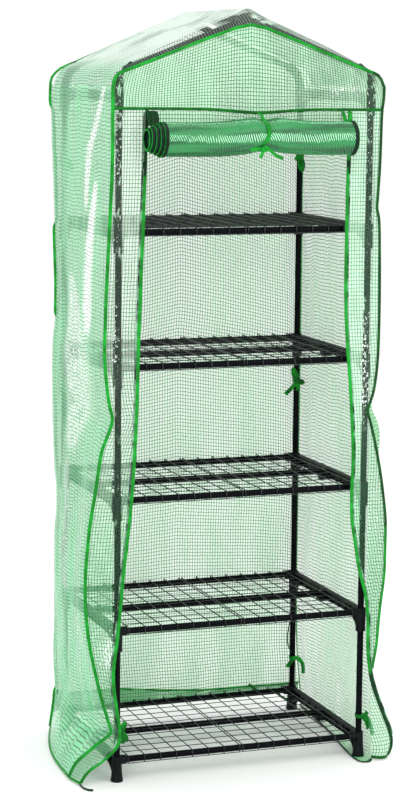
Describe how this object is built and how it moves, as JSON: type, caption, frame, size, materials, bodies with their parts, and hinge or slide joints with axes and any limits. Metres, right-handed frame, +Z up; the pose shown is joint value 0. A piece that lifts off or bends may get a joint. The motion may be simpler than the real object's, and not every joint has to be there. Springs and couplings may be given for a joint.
{
  "type": "mini greenhouse",
  "caption": "Tall narrow shelving greenhouse: push-fit steel tube frame with wire shelves, pitched roof and a mesh-reinforced film cover with a roll-up front door.",
  "frame": {"origin": "on the floor, under the middle of the whole outline", "axes": "+Z up along the posts, -Y out through the door, +X to the right of someone facing the door"},
  "size_m": [0.8628, 0.5866, 1.8858],
  "materials": {
    "steel_tube": "smooth dark powder coat with a soft sheen",
    "moulded_plastic": "dark grey moulded plastic, fine grain",
    "shelf_wire": "dark plastic-coated wire",
    "cover_film": "clear polythene film with a fine green reinforcing mesh, loosely creased",
    "binding_tape": "bright green woven tape",
    "zip_slider": "dark green moulded plastic"
  },
  "bodies": {
    "frame_and_cover": {"upright_front_left": "steel_tube", "roof_tube_front_left": "steel_tube", "upright_rear_left": "steel_tube", "roof_tube_rear_left": "steel_tube", "eave_bracket_left": "moulded_plastic", "upright_front_right": "steel_tube", "roof_tube_front_right": "steel_tube", "upright_rear_right": "steel_tube", "roof_tube_rear_right": "steel_tube", "eave_bracket_right": "moulded_plastic", "shelf1_bracket_left": "moulded_plastic", "shelf1_bracket_right": "moulded_plastic", "shelf1_tube_front": "steel_tube", "shelf1_tube_middle": "steel_tube", "shelf1_tube_rear": "steel_tube", "shelf2_bracket_left": "moulded_plastic", "shelf2_bracket_right": "moulded_plastic", "shelf2_tube_front": "steel_tube", "shelf2_tube_middle": "steel_tube", "shelf2_tube_rear": "steel_tube", "shelf3_bracket_left": "moulded_plastic", "shelf3_bracket_right": "moulded_plastic", "shelf3_tube_front": "steel_tube", "shelf3_tube_middle": "steel_tube", "shelf3_tube_rear": "steel_tube", "shelf4_bracket_left": "moulded_plastic", "shelf4_bracket_right": "moulded_plastic", "shelf4_tube_front": "steel_tube", "shelf4_tube_middle": "steel_tube", "shelf4_tube_rear": "steel_tube", "shelf5_bracket_left": "moulded_plastic", "shelf5_bracket_right": "moulded_plastic", "shelf5_tube_front": "steel_tube", "shelf5_tube_middle": "steel_tube", "shelf5_tube_rear": "steel_tube", "apex_connector_front": "moulded_plastic", "apex_connector_rear": "moulded_plastic", "ridge_tube": "steel_tube", "cover_roof": "cover_film", "cover_front_gable": "cover_film", "cover_rear_panel": "cover_film", "cover_side_left": "cover_film", "cover_side_right": "cover_film", "cover_strip_left": "cover_film", "cover_strip_right": "cover_film"},
    "shelf1_left": {"shelf1_grid_left": "shelf_wire"},
    "shelf1_right": {"shelf1_grid_right": "shelf_wire"},
    "shelf2_left": {"shelf2_grid_left": "shelf_wire"},
    "shelf2_right": {"shelf2_grid_right": "shelf_wire"},
    "shelf3_left": {"shelf3_grid_left": "shelf_wire"},
    "shelf3_right": {"shelf3_grid_right": "shelf_wire"},
    "shelf4_left": {"shelf4_grid_left": "shelf_wire"},
    "shelf4_right": {"shelf4_grid_right": "shelf_wire"},
    "shelf5_left": {"shelf5_grid_left": "shelf_wire"},
    "shelf5_right": {"shelf5_grid_right": "shelf_wire"},
    "door": {"door_curtain": "cover_film", "door_roll": "cover_film", "door_tie": "binding_tape"},
    "zip_left": {"zip_slider_left": "zip_slider"},
    "zip_right": {"zip_slider_right": "zip_slider"}
  },
  "joints": [
    {"name": "shelf1_left_lift", "type": "slide", "parent": "frame_and_cover", "child": "shelf1_left", "axis": [0, 0, 1], "range_m": [0, 0.05]},
    {"name": "shelf1_right_lift", "type": "slide", "parent": "frame_and_cover", "child": "shelf1_right", "axis": [0, 0, 1], "range_m": [0, 0.05]},
    {"name": "shelf2_left_lift", "type": "slide", "parent": "frame_and_cover", "child": "shelf2_left", "axis": [0, 0, 1], "range_m": [0, 0.05]},
    {"name": "shelf2_right_lift", "type": "slide", "parent": "frame_and_cover", "child": "shelf2_right", "axis": [0, 0, 1], "range_m": [0, 0.05]},
    {"name": "shelf3_left_lift", "type": "slide", "parent": "frame_and_cover", "child": "shelf3_left", "axis": [0, 0, 1], "range_m": [0, 0.05]},
    {"name": "shelf3_right_lift", "type": "slide", "parent": "frame_and_cover", "child": "shelf3_right", "axis": [0, 0, 1], "range_m": [0, 0.05]},
    {"name": "shelf4_left_lift", "type": "slide", "parent": "frame_and_cover", "child": "shelf4_left", "axis": [0, 0, 1], "range_m": [0, 0.05]},
    {"name": "shelf4_right_lift", "type": "slide", "parent": "frame_and_cover", "child": "shelf4_right", "axis": [0, 0, 1], "range_m": [0, 0.05]},
    {"name": "shelf5_left_lift", "type": "slide", "parent": "frame_and_cover", "child": "shelf5_left", "axis": [0, 0, 1], "range_m": [0, 0.05]},
    {"name": "shelf5_right_lift", "type": "slide", "parent": "frame_and_cover", "child": "shelf5_right", "axis": [0, 0, 1], "range_m": [0, 0.05]},
    {"name": "door_swing", "type": "hinge", "parent": "frame_and_cover", "child": "door", "pos_m": [0, -0.20467, 1.643], "axis": [-1, 0, 0], "range_deg": [0, 70]},
    {"name": "zip_left_travel", "type": "slide", "parent": "frame_and_cover", "child": "zip_left", "axis": [-0.029, 0, -0.9996], "range_m": [0, 0.35]},
    {"name": "zip_right_travel", "type": "slide", "parent": "frame_and_cover", "child": "zip_right", "axis": [0, 0, -1], "range_m": [0, 0.35]}
  ]
}
